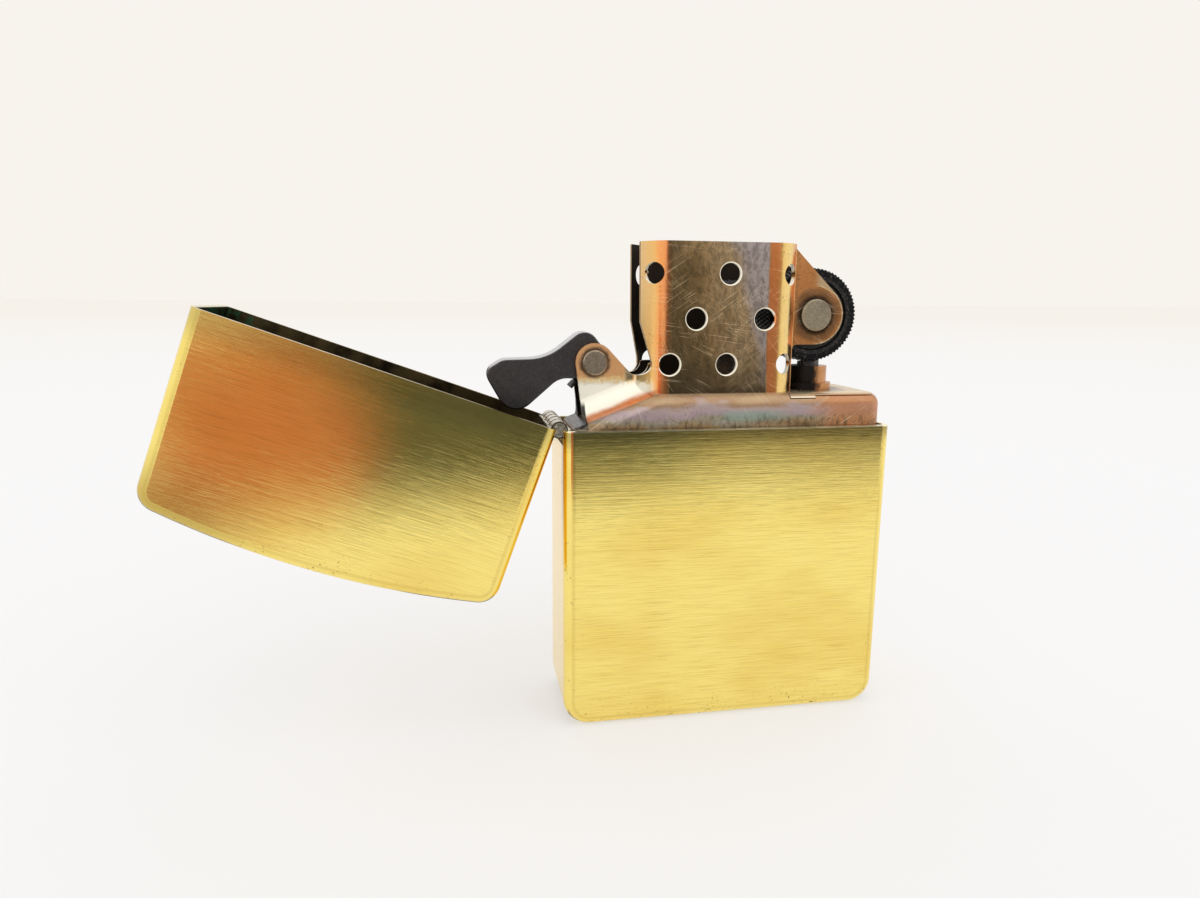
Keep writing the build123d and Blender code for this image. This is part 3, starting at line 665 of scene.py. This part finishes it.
def use_material(names, material):
    """Give CAD nodes this material."""
    for name in names:
        for place in bpy.data.objects[name].material_slots:
            place.material = material


# Meshes


def add_mesh(name, vertices, faces, material):
    """A smooth-shaded object in the row frame; its vertices are in millimetres."""
    mesh = bpy.data.meshes.new(name)
    mesh.from_pydata([tuple(c * MM for c in v) for v in vertices], [], faces)
    mesh.update()
    for polygon in mesh.polygons:
        polygon.use_smooth = True
    mesh.materials.append(material)
    piece = bpy.data.objects.new(name, mesh)
    bpy.context.scene.collection.objects.link(piece)
    return piece


def tube(points, radius, sides, first=0):
    """Vertices and faces of a closed round tube along the points."""
    points = [Vector(p) for p in points]
    vertices, faces = [], []
    across = None
    for index, point in enumerate(points):
        ahead = points[min(index + 1, len(points) - 1)] - points[max(index - 1, 0)]
        ahead.normalize()
        if across is None:
            across = ahead.orthogonal().normalized()
        across = (across - ahead * across.dot(ahead)).normalized()
        other = ahead.cross(across)
        size = radius(index / (len(points) - 1)) if callable(radius) else radius
        for side in range(sides):
            turn = 2 * math.pi * side / sides
            vertices.append(point + (across * math.cos(turn) + other * math.sin(turn)) * size)
    for index in range(len(points) - 1):
        for side in range(sides):
            a = first + index * sides + side
            b = first + index * sides + (side + 1) % sides
            faces.append((a, b, b + sides, a + sides))
    faces.append(tuple(first + side for side in reversed(range(sides))))
    last = first + (len(points) - 1) * sides
    faces.append(tuple(last + side for side in range(sides)))
    return vertices, faces


def add_tubes(name, runs, radius, sides, material):
    """One object made of several tubes."""
    vertices, faces = [], []
    for points in runs:
        more_vertices, more_faces = tube(points, radius, sides, len(vertices))
        vertices += more_vertices
        faces += more_faces
    return add_mesh(name, vertices, faces, material)


def tooth_depth(turn, y, teeth, slant):
    """How deep the two diagonal cuts are at one place on the tread, from 0 to 1."""
    depths = []
    for lean in (-slant, slant):
        share = (turn * teeth + y * lean) % 1.0
        depths.append(1 - min(share / 0.62, (1 - share) / 0.38))
    return max(depths)


def striker_wheel(material):
    """Striker wheel with two crossing sets of slanted teeth, a lowered ring and a hub."""
    low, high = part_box("striker_wheel")
    radius = (high[2] - low[2]) / 2 / MM
    half = (high[1] - low[1]) / 2 / MM
    centre = (WHEEL_AXIS[0], 0, WHEEL_AXIS[1])
    bore, hub, ring, recess, crown = 1.04, 2.2, 3.9, 0.25, 0.22
    teeth, slant, depth = 72, 0.62, 0.24
    around, across = 576, 30
    side = [(bore, half - 0.1, 0), (bore + 0.1, half, 0), (hub, half, 0)]
    side += [(hub + 0.1, half - recess, 0), (ring, half - recess, 0), (ring + 0.15, half, 0)]
    side += [(radius - crown - 0.45, half, 0.15), (radius - crown, half - 0.02, 0.7)]
    rows = [(r, -y, cut) for r, y, cut in side]
    tread = half - 0.06
    for step in range(across + 1):
        y = -tread + 2 * tread * step / across
        edge = max(0, abs(y) - (half - crown)) / crown
        rows.append((radius - crown * (1 - math.sqrt(max(0, 1 - edge * edge))), y, 1))
    rows += [(r, y, cut) for r, y, cut in reversed(side)]
    vertices, faces = [], []
    for r, y, cut in rows:
        for step in range(around):
            turn = step / around
            size = r - cut * depth * tooth_depth(turn, y, teeth, slant)
            angle = 2 * math.pi * turn
            vertices.append(
                (
                    centre[0] + size * math.cos(angle),
                    y,
                    centre[2] + size * math.sin(angle),
                )
            )
    count = len(rows)
    for row in range(count):
        for step in range(around):
            a = row * around + step
            b = row * around + (step + 1) % around
            c = ((row + 1) % count) * around + (step + 1) % around
            d = ((row + 1) % count) * around + step
            faces.append((a, d, c, b))
    piece = add_mesh("knurled_wheel", vertices, faces, material)
    for polygon in piece.data.polygons:
        polygon.use_smooth = False
    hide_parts("striker_wheel")
    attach(piece, "wheel")


def flint_spring(material):
    """Closely wound coil spring between the flint screw and the plunger."""
    low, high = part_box("flint_spring")
    wire, pitch, per_turn = 0.17, 0.52, 14
    bottom, top = low[2] / MM + wire, high[2] / MM - wire
    coil = (high[0] - low[0]) / 2 / MM - wire
    steps = int((top - bottom) / pitch * per_turn)
    points = []
    for step in range(steps + 1):
        angle = 2 * math.pi * step / per_turn
        z = bottom + (top - bottom) * step / steps
        points.append((FLINT_X + coil * math.cos(angle), coil * math.sin(angle), z))
    piece = add_tubes("flint_coil", [points], wire, 8, material)
    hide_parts("flint_spring")
    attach(piece, "insert")
    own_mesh(piece)


def wick_line():
    """The wick's centre line: down from the flame, then folded back and forth."""
    low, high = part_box("wick")
    radius, bend, gap = 1.6, 3.0, 0.3
    left = low[0] / MM + radius + bend
    right = high[0] / MM - radius - bend
    run = high[2] / MM - 19.7
    points = []

    def straight(a, b):
        steps = max(1, round(math.dist(a, b) / gap))
        points.extend(
            (a[0] + (b[0] - a[0]) * i / steps, 0, a[1] + (b[1] - a[1]) * i / steps)
            for i in range(steps)
        )

    def arc(centre, start, end):
        steps = round(abs(math.radians(end - start)) * bend / gap)
        for i in range(steps):
            angle = math.radians(start + (end - start) * i / steps)
            points.append(
                (centre[0] + bend * math.cos(angle), 0, centre[1] + bend * math.sin(angle))
            )

    straight((WICK_X, high[2] / MM), (WICK_X, run + bend))
    arc((WICK_X - bend, run + bend), 0, -90)
    start = WICK_X - bend
    for fold in range(3):
        leftwards = fold % 2 == 0
        end = left if leftwards else right
        straight((start, run), (end, run))
        sweep = 180 if leftwards else -180
        arc((end, run - bend), 90, 90 + sweep)
        run -= 2 * bend
        start = end
    straight((start, run), (right, run))
    points.append((right, 0, run))
    return [Vector(p) for p in points]


def wick(material):
    """Braided wick: strands wound both ways, over and under each other, with a frayed tip."""
    line = wick_line()
    strands, pitch, middle, weave, thick = 7, 5.2, 1.13, 0.12, 0.36
    travelled = [0.0]
    for a, b in zip(line, line[1:]):
        travelled.append(travelled[-1] + (b - a).length)
    side = Vector((0, 1, 0))
    runs = []
    for hand in (-1, 1):
        for strand in range(strands):
            points = []
            for index, point in enumerate(line):
                ahead = line[min(index + 1, len(line) - 1)] - line[max(index - 1, 0)]
                other = ahead.normalized().cross(side)
                phase = 2 * math.pi * travelled[index] / pitch
                angle = hand * phase + 2 * math.pi * strand / strands
                lift = middle + hand * weave * math.cos(strands * phase + math.pi * strand)
                points.append(point + (side * math.cos(angle) + other * math.sin(angle)) * lift)
            runs.append(points)
    piece = add_tubes("braided_wick", runs, thick, 6, material)
    draw = random.Random(7)
    hairs = []
    top = line[0]
    for _ in range(60):
        angle = draw.uniform(0, 2 * math.pi)
        reach = 1.35 * math.sqrt(draw.random())
        foot = top + Vector((reach * math.cos(angle), reach * math.sin(angle), -0.5))
        lean = Vector((math.cos(angle), math.sin(angle), 0)) * draw.uniform(0, 0.5)
        rise = draw.uniform(0.3, 0.95)
        tip = foot + lean + Vector((0, 0, rise))
        bow = Vector((draw.uniform(-0.2, 0.2), draw.uniform(-0.2, 0.2), 0))
        hairs.append([foot, foot.lerp(tip, 0.5) + bow, tip])
    fray = add_tubes("wick_fray", hairs, lambda share: 0.11 - 0.07 * share, 5, material)
    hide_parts("wick")
    for made in (piece, fray):
        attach(made, "insert")


def soft_copy(node, name, voxel, depth, lump, material):
    """A CAD soft solid, remeshed finely and dented inwards by layered noise."""
    piece = bpy.data.objects.new(name, bpy.data.objects[node].data.copy())
    bpy.context.scene.collection.objects.link(piece)
    remesh = piece.modifiers.new("remesh", "REMESH")
    remesh.mode = "VOXEL"
    remesh.voxel_size = voxel * MM
    graph = bpy.context.evaluated_depsgraph_get()
    mesh = bpy.data.meshes.new_from_object(piece.evaluated_get(graph))
    piece.modifiers.clear()
    piece.data = mesh
    moves = []
    for vertex in mesh.vertices:
        place = vertex.co / (lump * MM)
        large = noise.fractal(place, 1.0, 2.0, 3)
        small = noise.noise(place * 4.5)
        dent = min(1, max(0, 0.5 + 0.55 * large + 0.16 * small))
        moves.append(vertex.normal * (-depth * MM * dent))
    for vertex, move in zip(mesh.vertices, moves):
        vertex.co += move
    mesh.materials.clear()
    mesh.materials.append(material)
    for polygon in mesh.polygons:
        polygon.use_smooth = True
    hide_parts(node)
    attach(piece, "insert")


# Stage


def add_floor():
    """A very large pale floor, creamier towards the horizon, with weak, soft shadows."""
    paint = Paint("floor_look", 0.0, 0.9)
    away = paint.vector("LENGTH", paint.place)
    cream = paint.math("POWER", paint.step(away, 200, 3500), 0.5)
    tint = paint.mix(cream, (1.0, 0.985, 0.985), (0.965, 0.915, 0.85))
    paint.set("Base Color", paint.mix(cream, (0.42, 0.42, 0.42), (0.41, 0.40, 0.375)))
    paint.set("Specular IOR Level", 0.0)
    paint.set("Emission Color", tint)
    paint.set("Emission Strength", 0.50)
    reach = 90000
    corners = [(-reach, -reach, 0), (reach, -reach, 0), (reach, reach, 0), (-reach, reach, 0)]
    add_mesh("floor", corners, [(0, 1, 2, 3)], paint.material)


def add_card(name, corners, colour):
    """A glowing sheet that only reflections see, standing for the room round the camera."""
    material = bpy.data.materials.new(name)
    material.use_nodes = True
    nodes = material.node_tree.nodes
    nodes.clear()
    glow = nodes.new("ShaderNodeEmission")
    glow.inputs["Color"].default_value = (*colour, 1)
    output = nodes.new("ShaderNodeOutputMaterial")
    material.node_tree.links.new(glow.outputs[0], output.inputs[0])
    card = add_mesh(name, corners, [tuple(range(len(corners)))], material)
    card.visible_camera = False
    card.visible_diffuse = False
    card.visible_shadow = False
    card.visible_transmission = False


def add_room():
    """What the polished faces mirror: a dark strip, a dim floor, a wall, the camera and a hand."""
    lift, top = 0.5, 165
    strips = ((1.0, 1.5, (0.08, 0.08, 0.078)), (1.5, 5.7, (0.30, 0.27, 0.23)))
    for name, side, near, left, right in (
        ("room_front", -1, 146, -32, 150),
        ("room_back", 1, 190, -110, 110),
    ):
        for start, end, colour in strips:
            strip = [(left * start, side * near * start, lift)]
            strip += [(right * start, side * near * start, lift)]
            strip += [(right * end, side * near * end, lift)]
            strip += [(left * end, side * near * end, lift)]
            add_card(f"{name}_{start}", strip, colour)
        far = side * near * end
        wall = [(left * end, far, 0), (right * end, far, 0)]
        wall += [(right * end, far, top), (left * end, far, top)]
        add_card(name + "_wall", wall, (0.34, 0.28, 0.22))
    y = -97
    body = [(-62, y, 4), (22, y, 8), (22, y, 78), (-22, y, 78), (-22, y, 36), (-62, y, 36)]
    add_card("camera_body", body, (0.115, 0.125, 0.12))
    y = -95
    hand = [(-95, y, 2), (-54, y, 4), (-50, y, 10), (-49, y, 20)]
    hand += [(-53, y, 30), (-62, y, 42), (-95, y, 46)]
    add_card("hand", hand, (0.56, 0.22, 0.16))


def add_light():
    """Even daylight on a cream backdrop, with a broad soft sun from the upper right."""
    world = bpy.data.worlds.new("daylight")
    bpy.context.scene.world = world
    world.use_nodes = True
    nodes, links = world.node_tree.nodes, world.node_tree.links
    lighting = nodes["Background"]
    lighting.inputs["Color"].default_value = (0.97, 0.965, 0.96, 1)
    backdrop = nodes.new("ShaderNodeBackground")
    backdrop.inputs["Color"].default_value = (0.935, 0.900, 0.850, 1)
    seen = nodes.new("ShaderNodeLightPath")
    choice = nodes.new("ShaderNodeMixShader")
    links.new(seen.outputs["Is Camera Ray"], choice.inputs[0])
    links.new(lighting.outputs[0], choice.inputs[1])
    links.new(backdrop.outputs[0], choice.inputs[2])
    links.new(choice.outputs[0], nodes["World Output"].inputs["Surface"])
    sun = bpy.data.lights.new("window", "SUN")
    sun.energy = 0.45
    sun.angle = math.radians(70)
    lamp = bpy.data.objects.new("window", sun)
    lamp.rotation_euler = (math.radians(38), math.radians(24), 0)
    bpy.context.scene.collection.objects.link(lamp)
    bpy.context.scene.view_settings.view_transform = "Standard"


def add_materials():
    """Paint the CAD nodes, and return the looks that new pieces share."""
    use_material(["case_bottom"], brass("case_brass_look", False))
    use_material(["case_lid"], brass("lid_brass_look", True))
    use_material(["insert_shell"], insert_metal())
    use_material(["insert_top_plate"], plate_metal())
    use_material(["flint_tube"], tube_metal())
    # A dark colour painted as shade in the grooves between the hinge knuckles.
    grime = (0.06, 0.045, 0.03)
    nickel = steel(
        "hinge_steel_look", (0.56, 0.49, 0.38), (0.92, 0.86, 0.72), 0.24, 0.35, groove_shade=grime
    )
    use_material(["hinge_leaf_lower", "hinge_leaf_upper", "hinge_pin"], nickel)
    # Painted highlight for the cam's upward faces.
    pale = (0.62, 0.60, 0.61)
    cam = steel(
        "cam_steel_look", (0.095, 0.088, 0.088), (0.130, 0.122, 0.118), 0.38, 0.16, top=pale
    )
    use_material(["cam"], cam)
    wheel_rivet = steel("wheel_rivet_look", (0.34, 0.29, 0.20), (0.46, 0.40, 0.29), 0.40, 0.2)
    use_material(["wheel_rivet"], wheel_rivet)
    cam_rivet = steel("cam_rivet_look", (0.36, 0.29, 0.21), (0.50, 0.42, 0.32), 0.38, 0.2)
    use_material(["cam_rivet"], cam_rivet)
    spring = steel("spring_steel_look", (0.20, 0.19, 0.18), (0.36, 0.34, 0.31), 0.32, 0.2)
    # Painted shade: the cam spring is made near-black, standing for the dark between the cam ears.
    spring_in_shade = steel("spring_in_shade_look", (0.020, 0.019, 0.018), (0.06, 0.055, 0.05), 0.5, 0.2)
    use_material(["cam_spring"], spring_in_shade)
    use_material(["spring_rivet"], cam_rivet)
    flint = steel("flint_look", (0.11, 0.10, 0.10), (0.26, 0.25, 0.24), 0.6, 0.12)
    use_material(["flint"], flint)
    turned = turned_brass("turned_brass_look")
    use_material(["flint_plunger", "flint_screw"], turned)
    strand = steel("strand_copper_look", (0.62, 0.33, 0.18), (0.80, 0.48, 0.28), 0.35, 0.15)
    use_material(["wick_strands"], strand)
    return spring


def main():
    add_camera()
    add_light()
    add_floor()
    add_room()
    spring = add_materials()
    striker_wheel(wheel_metal())
    flint_spring(spring)
    wick(wick_cotton())
    cotton = fibres("cotton_look", (0.92, 0.91, 0.88), (0.70, 0.68, 0.63), 0.10)
    for layer in range(1, 6):
        name = "cotton_pad_" + str(layer)
        soft_copy(name, "packing_" + str(layer), 0.4, 0.6, 2.6, cotton)
    felt = fibres("felt_look", (0.80, 0.79, 0.76), (0.55, 0.54, 0.51), 0.07)
    soft_copy("felt_pad", "felt_base", 0.3, 0.18, 1.6, felt)


main()
